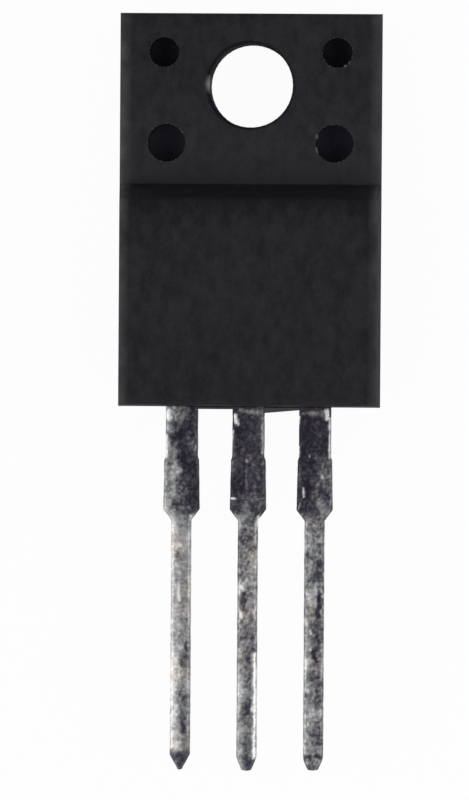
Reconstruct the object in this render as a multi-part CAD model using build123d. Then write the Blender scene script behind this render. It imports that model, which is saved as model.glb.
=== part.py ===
"""A fully moulded three-lead power transistor, in millimetres.

A copper lead frame carries a silicon die, two bond wires join the die to the outer leads, and one
black epoxy moulding encloses it all but for the three leads. It lies on its flat back, +Z out of the
front face and +Y towards the tab's free end. The origin is the screw hole's centre on the back face.
"""

import os
from math import radians, tan

from build123d import *

# Moulded body, heights measured from the back face
body_width = 10.0
body_length = 15.0
parting_height = 2.3
tab_rise = 0.45
step_rise = 1.75
tab_length = 6.5
step_run = 0.55
draft_deg = 3.0
edge_radius = 0.2

# Screw hole in the tab
hole_diameter = 3.2
hole_to_top = 2.75
hole_rim_radius = 0.12

# Blind holes left by the mould pins that pressed on the header
upper_pin_diameter = 1.15
upper_pin_inset = 1.7
upper_pin_above_hole = 1.25
lower_pin_diameter = 1.45
lower_pin_inset = 1.8
lower_pin_below_hole = 2.2
pin_hole_skin = 0.1

# Resin left between the leads by the dam punch: each stub's depth at its left and its right lead
left_stub_depths = (0.08, 0.08)
right_stub_depths = (0.22, 0.1)

# Leads, lengths measured from the body's lead end
lead_pitch = 2.54
lead_thickness = 0.6
neck_width = 1.16
neck_length = 1.9
flare_length = 0.12
shoulder_width = 1.25
shoulder_foot_width = 1.32
shoulder_length = 2.0
taper_length = 0.42
shank_width = 0.7
tip_length = 0.5
lead_edge_radius = 0.05
base_lead_length = 13.77
base_tip_width = 0.14
collector_lead_length = 13.8
collector_tip_width = 0.34
emitter_lead_length = 13.76
emitter_tip_width = 0.36

# Bonding posts at the inner ends of the outer leads
post_width = 2.3
post_length = 1.5
post_end_wall = 0.8

# Header: the thick plate that carries the die
back_wall = 0.55
header_thickness = 0.8
header_side_wall = 0.7
header_top_wall = 0.6
header_end_wall = 3.2
fork_wall = 0.6
joggle_run = 1.3

# Die, the solder under it, and the bond wires
die_width = 3.2
die_thickness = 0.25
die_end_margin = 1.0
solder_margin = 0.1
solder_thickness = 0.05
wire_rise = 0.55
wire_bend_share = 0.7
base_wire_diameter = 0.15
base_pad_inset = 0.5
emitter_wire_diameter = 0.3
emitter_pad_inset = 1.1

# How far a cutting or joining shape runs past the face where it starts
overrun = 1.0

# Places that several pieces share
top_end = hole_to_top
lead_end = top_end - body_length
tab_front = parting_height + tab_rise
body_front = tab_front + step_rise
step_foot = top_end - tab_length
half_width = body_width / 2
lead_front = parting_height + lead_thickness
header_front = back_wall + header_thickness
header_end = lead_end + header_end_wall
die_back = header_front + solder_thickness
die_front = die_back + die_thickness
die_end = header_end + die_end_margin
post_end = lead_end + post_end_wall
post_centre = post_end + post_length / 2


def outline(*points):
    """A flat face inside straight edges through the points."""
    return make_face(Polyline(*points, close=True))


def block(width, length, height, y_start, z_start):
    """A box centred on the part's middle plane, reaching up in Y and Z from its start."""
    box = Box(width, length, height, align=(Align.CENTER, Align.MIN, Align.MIN))
    return Pos(0, y_start, z_start) * box


def body_blank():
    """The moulding's outer form: its side profile crossed with its end profile, drafted both ways."""
    front_inset = (tab_rise + step_rise) * tan(radians(draft_deg))
    tab_inset = tab_rise * tan(radians(draft_deg))
    back_inset = parting_height * tan(radians(draft_deg))
    side_profile = outline(
        (lead_end + back_inset, 0),
        (lead_end, parting_height),
        (lead_end + front_inset, body_front),
        (step_foot - step_run, body_front),
        (step_foot, tab_front),
        (top_end - tab_inset, tab_front),
        (top_end, parting_height),
        (top_end - back_inset, 0),
    )
    end_profile = outline(
        (back_inset - half_width, 0),
        (-half_width, parting_height),
        (front_inset - half_width, body_front),
        (half_width - front_inset, body_front),
        (half_width, parting_height),
        (half_width - back_inset, 0),
    )
    side_form = extrude(Plane.YZ * side_profile, amount=body_width, both=True)
    end_form = extrude(Plane.XZ * end_profile, amount=body_length, both=True)
    return side_form & end_form


def edges_at(blank, height):
    """The blank's level edges at a height, to within half the small radius."""
    slack = edge_radius / 2
    return blank.edges().filter_by_position(Axis.Z, height - slack, height + slack)


def soften(blank):
    """Small radii round the front, the back and the step. The mould's other corners stay sharp."""
    parting_line = edges_at(blank, parting_height)
    upright_corners = blank.edges().filter_by(Axis.Z, tolerance=2 * draft_deg)
    inner_corner = edges_at(blank, tab_front).sort_by(Axis.Y)[0]
    return fillet(blank.edges() - parting_line - upright_corners - [inner_corner], edge_radius)


def pin_holes():
    """The four blind holes over the header's prongs, cut down to a thin skin of resin."""
    floor = header_front + pin_hole_skin
    depth = tab_front - floor + overrun
    holes = []
    for diameter, inset, y in (
        (upper_pin_diameter, upper_pin_inset, upper_pin_above_hole),
        (lower_pin_diameter, lower_pin_inset, -lower_pin_below_hole),
    ):
        for side in (-1, 1):
            place = Pos(side * (half_width - inset), y, floor)
            hole = Cylinder(diameter / 2, depth, align=(Align.CENTER, Align.CENTER, Align.MIN))
            holes.append(place * hole)
    return holes


def drill_tab(moulding):
    """Cut the screw hole through the tab and round its front rim."""
    drilled = moulding - Cylinder(hole_diameter / 2, 2 * body_front)
    hole_wall = drilled.faces().filter_by(GeomType.CYLINDER).sort_by(SortBy.AREA)[-1]
    front_rim = hole_wall.edges().filter_by(GeomType.CIRCLE).sort_by(Axis.Z)[-1]
    return fillet(front_rim, hole_rim_radius)


def resin_stubs():
    """What the dam's punch left of the resin between the leads, as thick as the leads."""
    half_gap = (lead_pitch - neck_width) / 2
    stubs = []
    for side, (left_depth, right_depth) in ((-1, left_stub_depths), (1, right_stub_depths)):
        middle = side * lead_pitch / 2
        stub = outline(
            (middle - half_gap, lead_end + overrun),
            (middle - half_gap, lead_end - left_depth),
            (middle + half_gap, lead_end - right_depth),
            (middle + half_gap, lead_end + overrun),
        )
        stubs.append(extrude(Plane.XY.offset(parting_height) * stub, amount=lead_thickness))
    return stubs


def lead_plate(x, inner_points, length, tip_width):
    """A flat stamped lead on the line x: its inner end, then neck, shoulder, shank and pointed tip."""
    shoulder_start = lead_end - neck_length
    taper_start = shoulder_start - shoulder_length
    tip = lead_end - length
    right_side = inner_points + [
        (neck_width / 2, shoulder_start),
        (shoulder_width / 2, shoulder_start - flare_length),
        (shoulder_foot_width / 2, taper_start),
        (shank_width / 2, taper_start - taper_length),
        (shank_width / 2, tip + tip_length),
        (tip_width / 2, tip),
    ]
    left_side = [(-half, y) for half, y in reversed(right_side)]
    plate_outline = Plane.XY.offset(parting_height) * outline(*right_side, *left_side)
    plate = extrude(plate_outline, amount=lead_thickness)
    flat_edges = plate.faces().filter_by(Axis.Z).edges()
    outer_edges = flat_edges.filter_by(lambda edge: edge.bounding_box().min.Y < lead_end)
    return Pos(x, 0, 0) * fillet(outer_edges, lead_edge_radius)


def posted_lead(x, length, tip_width):
    """An outer lead, whose inner end is a wide post for its bond wire."""
    post = [
        (post_width / 2, post_end + post_length),
        (post_width / 2, post_end),
        (neck_width / 2, post_end),
    ]
    return lead_plate(x, post, length, tip_width)


def collector_frame():
    """Header, joggle and centre lead, stamped and bent from one strip."""
    header_width = body_width - 2 * header_side_wall
    header_length = top_end - header_top_wall - header_end
    header = block(header_width, header_length, header_thickness, header_end, back_wall)
    fork_radius = hole_diameter / 2 + fork_wall
    fork_round = extrude(Circle(fork_radius), amount=body_front)
    fork_mouth = block(2 * fork_radius, top_end, body_front, 0, 0)
    header = header - fork_round - fork_mouth

    joggle_end = header_end - joggle_run
    joggle_side = outline(
        (header_end, back_wall),
        (header_end, header_front),
        (joggle_end, lead_front),
        (joggle_end, parting_height),
    )
    joggle = extrude(Plane.YZ * joggle_side, amount=neck_width / 2, both=True)
    lead = lead_plate(0, [(neck_width / 2, joggle_end)], collector_lead_length, collector_tip_width)
    return header + joggle + lead


def bond_wire(start, end, diameter):
    """A wire that rises from its start on the die, crosses over and comes down on a post."""
    crest = lead_front + wire_rise
    path = FilletPolyline(
        (*start, die_front),
        (*start, crest),
        (*end, crest),
        (*end, lead_front),
        radius=wire_rise * wire_bend_share,
    )
    return sweep(Plane(path @ 0, z_dir=path % 0) * Circle(diameter / 2), path=path)


solder_width = die_width + 2 * solder_margin
solder_end = die_end - solder_margin
base_pad = (base_pad_inset - die_width / 2, die_end + base_pad_inset)
emitter_pad = (die_width / 2 - emitter_pad_inset, die_end + emitter_pad_inset)
pieces = {
    "collector_frame": collector_frame(),
    "base_lead": posted_lead(-lead_pitch, base_lead_length, base_tip_width),
    "emitter_lead": posted_lead(lead_pitch, emitter_lead_length, emitter_tip_width),
    "die_solder": block(solder_width, solder_width, solder_thickness, solder_end, header_front),
    "silicon_die": block(die_width, die_width, die_thickness, die_end, die_back),
    "base_bond_wire": bond_wire(base_pad, (-lead_pitch, post_centre), base_wire_diameter),
    "emitter_bond_wire": bond_wire(emitter_pad, (lead_pitch, post_centre), emitter_wire_diameter),
}
moulding = drill_tab(soften(body_blank())) + resin_stubs() - pin_holes()
pieces["moulded_body"] = moulding - list(pieces.values())

os.makedirs("parts", exist_ok=True)
for name, piece in pieces.items():
    export_step(piece, f"parts/{name}.step")
    print(name, "solids", len(piece.solids()), "volume", round(piece.volume, 3))
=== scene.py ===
import math

import bpy
from mathutils import Matrix, Vector


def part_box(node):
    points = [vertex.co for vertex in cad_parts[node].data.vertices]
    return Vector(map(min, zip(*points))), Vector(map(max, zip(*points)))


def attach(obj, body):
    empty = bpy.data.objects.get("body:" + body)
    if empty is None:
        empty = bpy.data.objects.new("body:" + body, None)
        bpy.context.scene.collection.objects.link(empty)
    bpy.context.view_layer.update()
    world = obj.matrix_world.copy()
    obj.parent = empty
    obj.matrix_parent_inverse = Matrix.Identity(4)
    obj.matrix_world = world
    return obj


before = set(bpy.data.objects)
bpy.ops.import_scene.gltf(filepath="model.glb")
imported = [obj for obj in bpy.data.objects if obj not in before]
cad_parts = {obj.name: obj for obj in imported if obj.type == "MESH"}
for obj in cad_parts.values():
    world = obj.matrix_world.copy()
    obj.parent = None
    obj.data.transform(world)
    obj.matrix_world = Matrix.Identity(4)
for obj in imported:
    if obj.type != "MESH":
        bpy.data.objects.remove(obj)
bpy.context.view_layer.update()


# Lead frame: one strip of copper alloy, stamped into the header, the posts and the three leads, with the
# header bent back below them. Rolling left fine lines along the strip, and the moulding hides most of it.

mm = 0.001


def set_inputs(node, inputs):
    """Set a node's inputs by name or number, or link them where the value is a field."""
    for key, value in inputs.items():
        socket = node.inputs[key]
        if isinstance(value, Field):
            node.id_data.links.new(value.socket, socket)
        elif socket.type == "VECTOR" and not isinstance(value, tuple):
            socket.default_value = (value, value, value)
        else:
            socket.default_value = value


def add_node(tree, kind, inputs, **options):
    """A new node with its options and inputs set."""
    node = tree.nodes.new(kind)
    for option, value in options.items():
        setattr(node, option, value)
    set_inputs(node, inputs)
    return node


class Field:
    """What a node gives out, such as a value over a surface. Plain arithmetic on fields adds its nodes."""

    def __init__(self, socket):
        self.socket = socket
        self.tree = socket.id_data

    def join(self, operation, *others):
        """The result of one arithmetic node, which gives a vector where a term is a vector or a colour."""
        terms = dict(enumerate((self, *others)))
        types = {term.socket.type for term in terms.values() if isinstance(term, Field)}
        kind = "ShaderNodeVectorMath" if types & {"VECTOR", "RGBA"} else "ShaderNodeMath"
        return Field(add_node(self.tree, kind, terms, operation=operation).outputs[0])

    def __add__(self, other):
        return self.join("ADD", other)

    def __sub__(self, other):
        return self.join("SUBTRACT", other)

    def __rsub__(self, other):
        return self * -1.0 + other

    def __mul__(self, other):
        return self.join("MULTIPLY", other)

    def __truediv__(self, other):
        return self.join("DIVIDE", other)

    def __pow__(self, other):
        return self.join("POWER", other)

    def __abs__(self):
        return self.join("ABSOLUTE")

    __radd__ = __add__
    __rmul__ = __mul__

    def parts(self):
        """The three parts of a vector."""
        node = add_node(self.tree, "ShaderNodeSeparateXYZ", {0: self})
        return [Field(socket) for socket in node.outputs]

    def span(self, low, high, to_low=0.0, to_high=1.0, easing="LINEAR"):
        """This value carried from one range to another, and held at its ends."""
        inputs = dict(enumerate((self, low, high, to_low, to_high)))
        node = add_node(self.tree, "ShaderNodeMapRange", inputs, interpolation_type=easing)
        return Field(node.outputs[0])

    def noise(self, scale, detail=2.0, seed=0.0):
        """Soft random values, most of them from 0.3 to 0.7, with so many waves to the millimetre."""
        inputs = {"Vector": self, "W": seed, "Scale": scale, "Detail": detail, "Roughness": 0.55}
        return Field(add_node(self.tree, "ShaderNodeTexNoise", inputs, noise_dimensions="4D").outputs[0])

    def colours(self, *stops):
        """Colours for this value, from stops of a value and a colour."""
        node = add_node(self.tree, "ShaderNodeValToRGB", {0: self})
        while len(node.color_ramp.elements) < len(stops):
            node.color_ramp.elements.new(1.0)
        for element, (value, colour) in zip(node.color_ramp.elements, stops):
            element.position = value
            element.color = (*colour, 1.0)
        return Field(node.outputs[0])

    def relief(self, depth):
        """The normal of a surface that this height, from 0 to 1, raises by a depth in millimetres."""
        inputs = {"Height": self, "Distance": depth * mm, "Strength": 1.0}
        return Field(add_node(self.tree, "ShaderNodeBump", inputs).outputs[0])


def new_finish(name):
    """A new material, its shader, and the place on the part in millimetres."""
    finish = bpy.data.materials.new(name)
    finish.use_nodes = True
    place = Field(add_node(finish.node_tree, "ShaderNodeTexCoord", {}).outputs["Object"])
    return finish, finish.node_tree.nodes["Principled BSDF"], place * (1 / mm)


def dress(finish, *names):
    """Give solids of the frame their finish."""
    for name in names:
        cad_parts[name].data.materials.clear()
        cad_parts[name].data.materials.append(finish)


copper, shader, place = new_finish("rolled_copper")
rolling = (place * (9.0, 0.4, 9.0)).noise(2.0)
set_inputs(shader, {
    "Base Color": rolling.colours((0.35, (0.58, 0.27, 0.17)), (0.65, (0.78, 0.42, 0.29))),
    "Metallic": 1.0,
    "Roughness": rolling.span(0.35, 0.65, 0.42, 0.28),
    "Normal": rolling.relief(0.004),
})
dress(copper, "collector_frame", "base_lead", "emitter_lead")


# Die and its solder: a square of silicon with metal fingers on its polished face, held to the header by a
# thin layer of soft solder that froze in small grains.

solder, shader, place = new_finish("die_solder")
grains = place.noise(6.0)
set_inputs(shader, {
    "Base Color": grains.colours((0.35, (0.36, 0.36, 0.38)), (0.65, (0.52, 0.52, 0.53))),
    "Metallic": 1.0,
    "Roughness": grains.span(0.35, 0.65, 0.5, 0.35),
    "Normal": grains.relief(0.006),
})
dress(solder, "die_solder")

silicon, shader, place = new_finish("polished_silicon")
stripes = add_node(silicon.node_tree, "ShaderNodeTexWave", {"Vector": place, "Scale": 1.1})
fingers = Field(stripes.outputs[1])
set_inputs(shader, {
    "Base Color": fingers.colours((0.45, (0.07, 0.08, 0.11)), (0.55, (0.32, 0.33, 0.35))),
    "Metallic": fingers.span(0.45, 0.55),
    "Roughness": fingers.span(0.45, 0.55, 0.12, 0.3),
})
dress(silicon, "silicon_die")


# Bond wires: drawn aluminium, welded by ultrasound to the die and looped over to the posts, a thin one for
# the base and a thicker one for the emitter. Drawing left fine lines along them.

aluminium, shader, place = new_finish("drawn_aluminium")
drawing = (place * (14.0, 1.5, 14.0)).noise(1.5)
set_inputs(shader, {
    "Base Color": drawing.colours((0.35, (0.72, 0.73, 0.74)), (0.65, (0.86, 0.87, 0.87))),
    "Metallic": 1.0,
    "Roughness": drawing.span(0.35, 0.65, 0.34, 0.22),
    "Normal": drawing.relief(0.003),
})
dress(aluminium, "base_bond_wire", "emitter_bond_wire")


# Moulded body: filled epoxy, pressed hot round the lead frame in a two-part mould with a fine matt face.
# The mould's pins held the header down and left four blind holes, with ragged flash round their rims.
# Handling has rubbed the long edges pale, under a painted highlight; a painted glint marks the screw hole.

body_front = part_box("moulded_body")[1].z / mm
tab_front = 2.75
long_edge_x = 4.85
step_foot, step_top, lead_end_y = -3.75, -4.3, -12.25
hole_radius = 1.6
# The pin holes come in pairs: how far out from the middle and how far above the screw hole, and the radius
pin_pairs = {"upper": (3.3, 1.25, 0.575), "lower": (3.2, -2.2, 0.725)}
pin_floor = 1.45


def distance(x, y):
    """The distance of a place from where x and y are zero."""
    return (x * x + y * y) ** 0.5


epoxy, shader, place = new_finish("moulded_epoxy")
sideways, along, up = place.parts()
outwards = abs(sideways)
depth = along.span(step_top, step_foot, body_front, tab_front) - up
on_tab = along.span(step_foot - 0.02, step_foot + 0.02)
above_step = along.span(0.0, step_foot) * on_tab
below_step = along.span(step_top - 1.2, step_top) * (1.0 - on_tab)

grain = place.noise(11.0, detail=3.0)
mottle = (place * (1.0, 0.6, 1.0)).noise(2.6, detail=3.0, seed=4.0)
tone = mottle.span(0.3, 0.7, 0.2, 0.8) + grain.span(0.3, 0.7, -0.2, 0.2)
# Painted light and shade: the tab is made paler towards the foot of the step, and the body darker just
# below the step's top
tone = tone + above_step * 0.5 - below_step * 0.5

# The walls of the screw hole and of the long sides are darker than the front
from_hole = distance(sideways, along)
in_hole = from_hole.span(hole_radius + 0.14, hole_radius + 0.02)
hole_shade = in_hole * sideways.span(-0.8, 0.8, 1.5, 0.5)
side_shade = outwards.span(long_edge_x - 0.05, long_edge_x) * depth.span(0.1, 0.22) * 0.6
resin_and_painted_shading = (tone - hole_shade - side_shade).colours(
    (0.0, (0.009, 0.009, 0.0118)),
    (1.0, (0.029, 0.029, 0.0338)),
)

# Painted light: the floors of the pin holes, under the pins, are made paler than the rest of their holes
under_pins = 0.0
for out, above, radius in pin_pairs.values():
    under_pins = under_pins + distance(outwards - out, along - above).span(radius + 0.1, radius)
under_pins = under_pins * abs(up - pin_floor).span(0.04, 0.01)
pin_floor_light = under_pins.colours((0.0, (0.0, 0.0, 0.0)), (1.0, (0.024, 0.023, 0.037)))

# Rubbed edges under a painted highlight, broken resin between the leads, torn flash, a painted hole glint
long_edges = outwards.span(long_edge_x - 0.35, long_edge_x) * depth.span(0.25, 0.08)
rubbing_and_edge_highlight = place.noise(0.9, detail=4.0, seed=9.0).span(0.4, 0.65, 0.5, 1.5)
# Painted highlight: the pale edges are made paler at the left than at the right, and more so just below the
# step
rubbing_and_edge_highlight = rubbing_and_edge_highlight * sideways.span(-1.0, 1.0, 0.032, 0.021) * (below_step * 0.7 + 1.0)
broken = along.span(lead_end_y - 0.01, lead_end_y - 0.03)
torn = up.span(tab_front + 0.002, tab_front + 0.012) * on_tab
# Painted glint on the left rim and wall of the screw hole
painted_hole_glint = from_hole.span(hole_radius + 0.2, hole_radius) ** 2.0 * sideways.span(-1.3, -1.5)
painted_hole_glint = painted_hole_glint * abs(along - 0.05).span(0.38, 0.05) * depth.span(2.7, 0.5)
pale = long_edges * rubbing_and_edge_highlight + (broken + torn) * 0.06 + painted_hole_glint * 0.26

set_inputs(shader, {
    "Base Color": resin_and_painted_shading + pin_floor_light + pale,
    "Roughness": grain.span(0.3, 0.7, 0.74, 0.86) + in_hole * 0.2,
    "Specular IOR Level": 0.1,
    "Normal": grain.relief(0.006),
})
dress(epoxy, "moulded_body")


def new_tree(name, **inputs):
    """A geometry node tree with the named inputs after its geometry, and all of its inputs as fields."""
    tree = bpy.data.node_groups.new(name, "GeometryNodeTree")
    tree.interface.new_socket("Result", in_out="OUTPUT", socket_type="NodeSocketGeometry")
    tree.interface.new_socket("Start", in_out="INPUT", socket_type="NodeSocketGeometry")
    for key, kind in inputs.items():
        tree.interface.new_socket(key, in_out="INPUT", socket_type=f"NodeSocket{kind}")
    given = tree.nodes.new("NodeGroupInput")
    return tree, {socket.name: Field(socket) for socket in given.outputs if socket.name}


def attribute(tree, name):
    """A number stored on the geometry."""
    node = add_node(tree, "GeometryNodeInputNamedAttribute", {"Name": name}, data_type="FLOAT")
    return Field(node.outputs[0])


def vector(tree, x, y, z):
    """A vector from three values."""
    return Field(add_node(tree, "ShaderNodeCombineXYZ", {0: x, 1: y, 2: z}).outputs[0])


def end_tree(tree, geometry, finish):
    """Close a tree: real mesh, millimetres to metres, smooth faces and the finish."""
    for kind, inputs in (
        ("GeometryNodeRealizeInstances", {}),
        ("GeometryNodeTransform", {"Scale": mm}),
        ("GeometryNodeSetShadeSmooth", {}),
        ("GeometryNodeSetMaterial", {"Material": finish}),
    ):
        geometry = Field(add_node(tree, kind, {0: geometry, **inputs}).outputs[0])
    add_node(tree, "NodeGroupOutput", {0: geometry})


def grow(name, start, tree, settings):
    """Run a tree on a mesh and keep what it makes as a plain piece of the part."""
    piece = bpy.data.objects.new(name, start)
    bpy.context.scene.collection.objects.link(piece)
    modifier = piece.modifiers.new(tree.name, "NODES")
    modifier.node_group = tree
    sockets = {item.name: item.identifier for item in tree.interface.items_tree if item.in_out == "INPUT"}
    for key, value in settings.items():
        modifier[sockets[key]] = value
    graph = bpy.context.evaluated_depsgraph_get()
    grown = piece.evaluated_get(graph)
    made = bpy.data.meshes.new_from_object(grown, preserve_all_data_layers=True, depsgraph=graph)
    piece.modifiers.remove(modifier)
    piece.data = made
    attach(piece, "root")


def marked_mesh(name, points, edges, domain, **numbers):
    """A mesh of points or edges that carries named numbers."""
    mesh = bpy.data.meshes.new(name)
    mesh.from_pydata(points, edges, [])
    for key, values in numbers.items():
        mesh.attributes.new(key, "FLOAT", domain).data.foreach_set("value", values)
    return mesh


# Crumbs of flash, each with its pair of holes, its side, its turn round the rim in degrees and its size:
# small ones all round each rim, and then the larger ones
small_crumb, small_crumb_turn = 0.03, 15
flash = []
for pair in pin_pairs:
    for side in (-1, 1):
        flash += [(pair, side, turn, small_crumb) for turn in range(0, 360, small_crumb_turn)]
flash += [
    ("lower", 1, 158, 0.10),
    ("lower", 1, 201, 0.12),
    ("lower", 1, 97, 0.07),
    ("lower", -1, 35, 0.06),
    ("upper", 1, -38, 0.07),
    ("upper", 1, -60, 0.08),
]
flash_points = []
for pair, side, turn, _ in flash:
    out, above, radius = pin_pairs[pair]
    x = side * out + radius * math.cos(math.radians(turn))
    y = above + radius * math.sin(math.radians(turn))
    flash_points.append((x, y, tab_front))
flash_turns = [math.radians(turn) for _, _, turn, _ in flash]
flash_sizes = [size for _, _, _, size in flash]
rims = marked_mesh("pin_hole_rims", flash_points, [], "POINT", turn=flash_turns, size=flash_sizes)

tree, given = new_tree("mould_flash", Seed="Int", Flatness="Float", Finish="Material")


def chance(low, high, step):
    """A random number for each point, a different one for each step."""
    inputs = {2: low, 3: high, "Seed": given["Seed"] + step}
    return Field(add_node(tree, "FunctionNodeRandomValue", inputs, data_type="FLOAT").outputs[1])


ball = add_node(tree, "GeometryNodeMeshIcoSphere", {"Radius": 1.0, "Subdivisions": 2})
size = attribute(tree, "size")
wide, long = size * chance(0.3, 0.7, 1), size * chance(0.5, 1.6, 2)
tilt_x, tilt_y = chance(-0.4, 0.4, 3), chance(-0.4, 0.4, 4)
turn = attribute(tree, "turn") + chance(-0.3, 0.3, 5)
crumbs = Field(add_node(tree, "GeometryNodeInstanceOnPoints", {
    "Points": given["Start"],
    "Instance": Field(ball.outputs["Mesh"]),
    "Rotation": vector(tree, tilt_x, tilt_y, turn),
    "Scale": vector(tree, wide, long, size * given["Flatness"]),
}).outputs[0])
end_tree(tree, crumbs, given["Finish"])
grow("pin_hole_flash", rims, tree, {"Seed": 7, "Flatness": 0.4, "Finish": epoxy})


# Tin on the leads: the leads were dipped in molten tin after moulding. The skin is a few hundredths of a
# millimetre thick, rounds the stamped edges, and has tarnished in patches, darkest next to the body, where
# painted shade adds to the tarnish. Its colour also holds painted light: lighter and darker sides and
# glints.

neck_width, shoulder_width, foot_width, shank_width = 1.16, 1.25, 1.32, 0.7
shoulder_start, flare_end, taper_start, taper_end = 1.9, 2.02, 3.9, 4.32
shank_middle, tip_length = 9.1, 0.5
strip_back, strip_front = (corner.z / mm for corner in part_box("base_lead"))
tin_thickness = 0.03
tin_sunk = 0.04
tin_bead = 0.08
tin_crown = 0.035
tin_ripple = 0.016
tin_edge_radius = 0.12

tin, shader, place = new_finish("hot_dipped_tin")
stored_shine = add_node(tin.node_tree, "ShaderNodeAttribute", {}, attribute_name="shine")
shine = Field(stored_shine.outputs["Fac"])
frost = place.noise(8.0, detail=2.5)
tarnish_and_painted_light = (shine + frost.span(0.3, 0.7, -0.16, 0.18)).colours(
    (0.0, (0.022, 0.018, 0.033)),
    (0.25, (0.084, 0.079, 0.099)),
    (0.5, (0.27, 0.265, 0.275)),
    (0.75, (0.53, 0.52, 0.52)),
    (1.0, (0.93, 0.92, 0.92)),
)
tint = place.noise(0.9, seed=3.0).colours(
    (0.38, (1.0, 0.96, 0.90)),
    (0.5, (1.0, 1.0, 1.0)),
    (0.62, (0.95, 1.0, 0.97)),
)
set_inputs(shader, {
    "Base Color": tarnish_and_painted_light * tint,
    "Metallic": shine.span(0.3, 1.0, 0.75, 0.5),
    "Roughness": shine.span(0.0, 1.0, 0.55, 0.42) + frost.span(0.3, 0.7, -0.08, 0.08),
    "Normal": (shine * 0.4 + frost * 0.6).relief(0.012),
})

tree, given = new_tree(
    "tin_coat",
    Across="Float", Length="Float", Tip_width="Float", Tip_power="Float", Seed="Float", Slant="Float",
    Neck="Vector", Shoulder="Vector", Upper="Vector", Lower="Vector", Tip="Vector", Finish="Material",
)

# The coat starts as a finely divided block, whose rings crowd together where it rounds off past the tip
block = {"Size": (2.0, 1.0, 2.0), "Vertices X": 33, "Vertices Y": 421, "Vertices Z": 17}
coat = Field(add_node(tree, "GeometryNodeMeshCube", block).outputs["Mesh"])
across, block_y, up = Field(add_node(tree, "GeometryNodeInputPosition", {}).outputs[0]).parts()
length = given["Length"]
down = 0.5 - block_y
rings = down * 1.06 - down ** 16.0 * 0.06
from_body = rings * (length + (tin_bead + tin_sunk)) - tin_sunk

half_width = (
    from_body.span(shoulder_start, flare_end, neck_width, shoulder_width)
    + from_body.span(flare_end, taper_start, 0.0, foot_width - shoulder_width)
    - from_body.span(taper_start, taper_end, 0.0, foot_width - shank_width)
    - from_body.span(length - tip_length, length) ** given["Tip_power"] * (shank_width - given["Tip_width"])
) * 0.5 + tin_thickness
end_round = (1.0 - from_body.span(length, length + tin_bead) ** 2.0 * 0.95) ** 0.5
half_width = half_width * end_round
half_height = end_round * ((strip_front - strip_back) / 2 + tin_thickness)

# Across the lead, the block's square section gets round corners and a slight crown
square = vector(tree, across * half_width, 0.0, up * half_height)
radius = (half_width * 0.8).join("MINIMUM", tin_edge_radius)
core = vector(tree, half_width - radius, 0.0, half_height - radius)
inner = square.join("MINIMUM", core).join("MAXIMUM", core * -1.0)
outward = square - inner
out_x, _, out_z = abs(outward).parts()
out_length = add_node(tree, "ShaderNodeVectorMath", {0: outward}, operation="LENGTH").outputs["Value"]
rounding = out_x.join("MAXIMUM", out_z) / Field(out_length).join("MAXIMUM", 1e-6)
crown = up * (1.0 - across * across) * tin_crown
in_section = inner + outward * rounding + vector(tree, 0.0, from_body, crown)
side_x, _, front_z = in_section.parts()

# How bright the tin is changes from stretch to stretch and from left to right, with patches and flecks:
# partly tarnish, and partly painted light and shade, such as a side painted lighter.
wander = in_section.noise(1.2, seed=given["Seed"])
stretch = from_body + wander.span(0.3, 0.7, -0.35, 0.35)
patchwork = given["Neck"]
for here, there, middle, blend in (
    ("Neck", "Shoulder", shoulder_start, 0.3),
    ("Shoulder", "Upper", taper_start + 0.3, 0.3),
    ("Upper", "Lower", shank_middle, 0.5),
):
    patchwork = patchwork + (given[there] - given[here]) * stretch.span(middle - blend, middle + blend)
patchwork = patchwork + (given["Tip"] - given["Lower"]) * from_body.span(length - 0.8, length - 0.45)
left, right, contrast = patchwork.parts()
to_right = (across + wander.span(0.3, 0.7, -0.5, 0.5)).span(-0.4, 0.4, easing="SMOOTHSTEP")
slanted = vector(tree, side_x + from_body * given["Slant"], from_body * 0.7, front_z)
patches = slanted.noise(1.9, detail=5.0, seed=given["Seed"] + 10.0).span(0.3, 0.7, -0.55, 0.55)
flecks = slanted.noise(7.0, detail=3.0, seed=given["Seed"] + 20.0).span(0.3, 0.7, -0.45, 0.45)
brightness = left + (right - left) * to_right + (patches + flecks) * contrast

# Glints and stains lie along the edges of the start mesh, with ragged outlines
on_front = vector(tree, side_x, from_body, 0.0)
near = {"Geometry": given["Start"], "Sample Position": on_front}
gap = Field(add_node(tree, "GeometryNodeProximity", near, target_element="EDGES").outputs["Distance"])
nearest = Field(add_node(tree, "GeometryNodeSampleNearest", near, domain="EDGE").outputs[0])


def mark_number(name):
    """A number of the nearest mark."""
    inputs = {"Geometry": given["Start"], "Value": attribute(tree, name), "Index": nearest}
    node = add_node(tree, "GeometryNodeSampleIndex", inputs, data_type="FLOAT", domain="EDGE")
    return Field(node.outputs[0])


reach = mark_number("reach")
ragged = gap + (patches + flecks * 1.5) * reach * 0.7
in_mark = ragged.span(reach * 1.2, 0.0, easing="SMOOTHSTEP") * up.span(-0.2, 0.4)
brightness = brightness + (mark_number("brightness") - brightness) * in_mark

lead_start = vector(tree, given["Across"], lead_end_y, (strip_back + strip_front) / 2)
placed = in_section * (1.0, -1.0, 1.0) + lead_start
waves = in_section.noise(2.2, seed=given["Seed"] + 30.0).span(0.3, 0.7, -0.5, 0.5)
ripple = waves * from_body.span(0.0, 0.3)
normal = Field(add_node(tree, "GeometryNodeInputNormal", {}).outputs[0])
on_points = {"data_type": "FLOAT", "domain": "POINT"}
for kind, inputs, options in (
    ("GeometryNodeStoreNamedAttribute", {"Name": "shine", "Value": brightness}, on_points),
    ("GeometryNodeStoreNamedAttribute", {"Name": "ripple", "Value": ripple}, on_points),
    ("GeometryNodeSetPosition", {"Position": placed}, {}),
    ("GeometryNodeSetPosition", {"Offset": normal * (attribute(tree, "ripple") * tin_ripple)}, {}),
):
    coat = Field(add_node(tree, kind, {0: coat, **inputs}, **options).outputs[0])
end_tree(tree, coat, given["Finish"])
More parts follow.
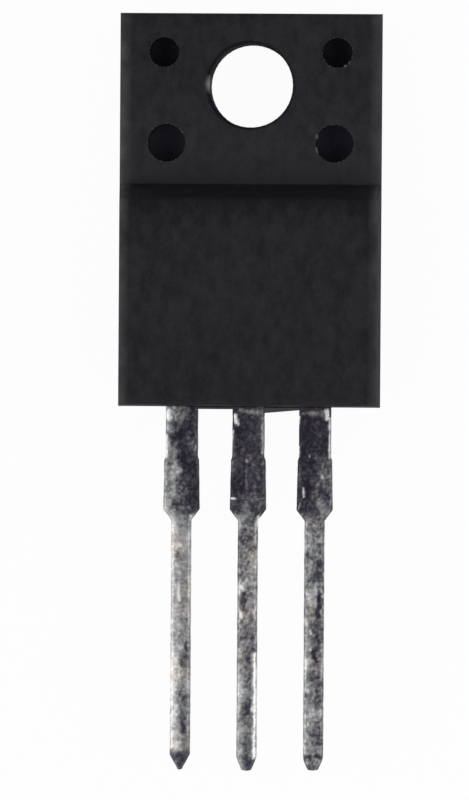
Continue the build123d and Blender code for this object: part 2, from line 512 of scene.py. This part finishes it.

# Each stretch of a lead has a brightness at its left and at its right, which is partly tarnish and partly
# painted light and shade, and a contrast of its patches
leads = {
    "base_lead_tin": {
        "Tip_width": 0.14, "Tip_power": 1.0, "Seed": 1.0, "Slant": 0.0,
        "Neck": (0.5, 0.13, 0.45), "Shoulder": (0.56, 0.08, 0.4), "Upper": (0.74, 0.58, 0.28),
        "Lower": (0.8, 0.48, 0.35), "Tip": (0.25, 0.1, 0.15),
    },
    "collector_lead_tin": {
        "Tip_width": 0.34, "Tip_power": 1.2, "Seed": 2.0, "Slant": 0.3,
        "Neck": (0.09, 0.19, 0.2), "Shoulder": (0.14, 0.18, 0.3), "Upper": (0.44, 0.5, 0.5),
        "Lower": (0.6, 0.3, 0.35), "Tip": (0.5, 0.25, 0.25),
    },
    "emitter_lead_tin": {
        "Tip_width": 0.36, "Tip_power": 1.7, "Seed": 3.0, "Slant": 0.0,
        "Neck": (0.0, 0.09, 0.15), "Shoulder": (0.0, 0.24, 0.4), "Upper": (0.48, 0.36, 0.55),
        "Lower": (0.6, 0.36, 0.5), "Tip": (0.35, 0.4, 0.45),
    },
}
# Each mark runs between two places on a lead's front, given as its distance to the right of the lead's
# middle and from the body, and then has its reach and its brightness. The brightest marks are painted
# glints and highlights.
marks = {
    "base_lead_tin": [
        (-0.50, 0.20, -0.48, 0.40, 0.14, 1.4),
        (-0.60, 1.1, -0.58, 1.9, 0.08, 1.0),
        (0.35, 4.15, 0.37, 4.2, 0.06, 1.0),
        (-0.12, 5.25, -0.02, 5.27, 0.14, 0.95),
        (-0.10, 5.65, -0.02, 5.8, 0.18, 0.4),
        (-0.08, 6.75, -0.05, 7.35, 0.06, 1.3),
        (0.20, 9.0, 0.21, 9.25, 0.08, 0.1),
        (0.12, 9.5, 0.14, 9.8, 0.15, 0.3),
        (0.12, 12.2, 0.14, 12.4, 0.12, 0.12),
        (-0.22, 12.6, -0.18, 12.9, 0.10, 0.85),
    ],
    "collector_lead_tin": [
        (-0.3, 0.14, 0.5, 0.2, 0.13, 0.5),
        (-0.48, 0.32, -0.46, 0.60, 0.12, 1.3),
        (-0.60, 0.9, -0.62, 1.8, 0.06, 0.8),
        (0.55, 0.4, 0.57, 1.7, 0.10, 0.5),
        (-0.05, 2.0, -0.04, 2.05, 0.08, 0.75),
        (-0.05, 2.4, -0.04, 3.3, 0.06, 0.3),
        (-0.66, 3.48, -0.46, 3.48, 0.045, 1.0),
        (-0.4, 3.49, 0.65, 3.47, 0.03, 0.4),
        (-0.1, 3.65, -0.05, 4.0, 0.20, 0.45),
        (0.42, 4.2, 0.38, 4.5, 0.09, 1.0),
        (-0.22, 6.85, -0.22, 6.9, 0.12, 1.4),
        (-0.14, 7.1, -0.12, 7.7, 0.12, 0.2),
        (-0.23, 7.8, -0.23, 8.0, 0.09, 1.3),
        (0.28, 9.2, 0.28, 9.25, 0.05, 0.0),
        (0.29, 9.4, 0.31, 11.5, 0.15, 1.0),
        (0.31, 11.5, 0.28, 13.25, 0.15, 1.0),
    ],
    "emitter_lead_tin": [
        (-0.45, 0.2, 0.3, 0.22, 0.13, 0.5),
        (0.43, 0.12, 0.45, 0.4, 0.12, 1.0),
        (0.56, 0.4, 0.57, 1.9, 0.07, 0.7),
        (-0.60, 0.35, -0.60, 0.6, 0.07, 1.0),
        (-0.61, 1.5, -0.61, 1.85, 0.06, 1.0),
        (-0.21, 1.82, -0.20, 1.86, 0.05, 0.7),
        (0.29, 2.58, 0.30, 2.66, 0.10, 0.9),
        (-0.43, 3.05, -0.41, 3.4, 0.075, 1.0),
        (0.2, 3.6, 0.4, 3.95, 0.2, 0.5),
        (-0.62, 3.9, -0.52, 3.5, 0.035, 0.7),
        (0.19, 7.2, 0.19, 7.95, 0.12, 0.06),
        (-0.13, 8.5, -0.11, 8.6, 0.07, 0.95),
        (0.0, 9.3, 0.02, 9.5, 0.16, 0.1),
        (-0.25, 13.28, 0.3, 13.3, 0.13, 0.12),
    ],
}
for name, node in (
    ("base_lead_tin", "base_lead"),
    ("collector_lead_tin", "collector_frame"),
    ("emitter_lead_tin", "emitter_lead"),
):
    low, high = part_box(node)
    place_and_length = {"Across": (low.x + high.x) / 2 / mm, "Length": lead_end_y - low.y / mm}
    points = [end for x0, y0, x1, y1, _, _ in marks[name] for end in ((x0, y0, 0.0), (x1, y1, 0.0))]
    edges = [(2 * index, 2 * index + 1) for index in range(len(marks[name]))]
    reaches = [mark[4] for mark in marks[name]]
    levels = [mark[5] for mark in marks[name]]
    start = marked_mesh(f"{name}_marks", points, edges, "EDGE", reach=reaches, brightness=levels)
    grow(name, start, tree, {**place_and_length, **leads[name], "Finish": tin})


# Set: the part lies on its back on white paper in a paper tent, which is bright at its left and right and
# darker overhead and at its ends. A large soft panel stands at each side, and the camera looks down.

# The share of the paper's white that it gives out itself, while the rest takes the part's shadow
paper_glow = 0.96
paper, shader, place = new_finish("white_paper")
fibre = place.noise(1.5, detail=4.0)
set_inputs(shader, {
    "Base Color": fibre.colours((0.3, (0.79, 0.79, 0.79)), (0.7, (0.81, 0.81, 0.81))),
    "Roughness": 0.9,
    "Specular IOR Level": 0.0,
})
rays = add_node(paper.node_tree, "ShaderNodeLightPath", {}).outputs
seen = Field(rays["Is Camera Ray"]).join("MAXIMUM", Field(rays["Is Glossy Ray"]))
seen = seen.join("MAXIMUM", Field(rays["Is Transmission Ray"]))
glowing = add_node(paper.node_tree, "ShaderNodeEmission", {"Color": (1.0, 1.0, 1.0, 1.0), "Strength": 1.0})
white = add_node(paper.node_tree, "ShaderNodeMixShader", {
    0: seen * paper_glow,
    1: Field(shader.outputs[0]),
    2: Field(glowing.outputs[0]),
})
set_inputs(paper.node_tree.nodes["Material Output"], {"Surface": Field(white.outputs[0])})

floor_half = 3.0
floor_corners = [(x * floor_half, y * floor_half, 0.0) for x, y in ((-1, -1), (1, -1), (1, 1), (-1, 1))]
floor_mesh = bpy.data.meshes.new("paper_floor")
floor_mesh.from_pydata(floor_corners, [], [(0, 1, 2, 3)])
floor_mesh.materials.append(paper)
paper_floor = bpy.data.objects.new("paper_floor", floor_mesh)
bpy.context.scene.collection.objects.link(paper_floor)

tent = bpy.data.worlds.new("paper_tent")
tent.use_nodes = True
outlook = Field(add_node(tent.node_tree, "ShaderNodeTexCoord", {}).outputs["Generated"])
tent_light = abs(outlook.parts()[0]).colours(
    (0.0, (0.22, 0.22, 0.23)),
    (0.4, (0.35, 0.35, 0.36)),
    (0.9, (1.0, 1.0, 1.0)),
)
set_inputs(tent.node_tree.nodes["Background"], {"Color": tent_light, "Strength": 1.0})
bpy.context.scene.world = tent

panel_aim = Vector((0.0, -0.012, 0.0))
for name, stand, radiance in (
    ("left_panel", Vector((-0.25, -0.10, 0.20)), 1.2),
    ("right_panel", Vector((0.25, -0.10, 0.20)), 1.1),
):
    panel = bpy.data.lights.new(name, "AREA")
    panel.shape = "RECTANGLE"
    panel.size, panel.size_y = 0.3, 0.4
    panel.energy = radiance * math.pi * panel.size * panel.size_y
    lamp = bpy.data.objects.new(name, panel)
    lamp.location = stand
    lamp.rotation_euler = (stand - panel_aim).to_track_quat("Z", "Y").to_euler()
    lamp.visible_camera = False
    bpy.context.scene.collection.objects.link(lamp)

camera_distance = 0.25
frame_height = 0.03053
sensor_side = 36.0
look_at = Vector((-0.000557, -0.01199, 0.0023))
lean_right, lean_up, roll = math.radians(2.2), math.radians(1.2), math.radians(0.43)
view_from = Vector((math.tan(lean_right), math.tan(lean_up), 1.0)).normalized()
image_right = Vector((math.cos(roll), math.sin(roll), 0.0))
image_top = view_from.cross(image_right).normalized()
image_right = image_top.cross(view_from)
lens = bpy.data.cameras.new("front_camera")
lens.sensor_width = sensor_side
lens.lens = sensor_side * camera_distance / frame_height
camera = bpy.data.objects.new("front_camera", lens)
camera.location = look_at + view_from * camera_distance
camera.rotation_euler = Matrix((image_right, image_top, view_from)).transposed().to_euler()
bpy.context.scene.collection.objects.link(camera)
bpy.context.scene.camera = camera
bpy.context.scene.view_settings.view_transform = "Standard"
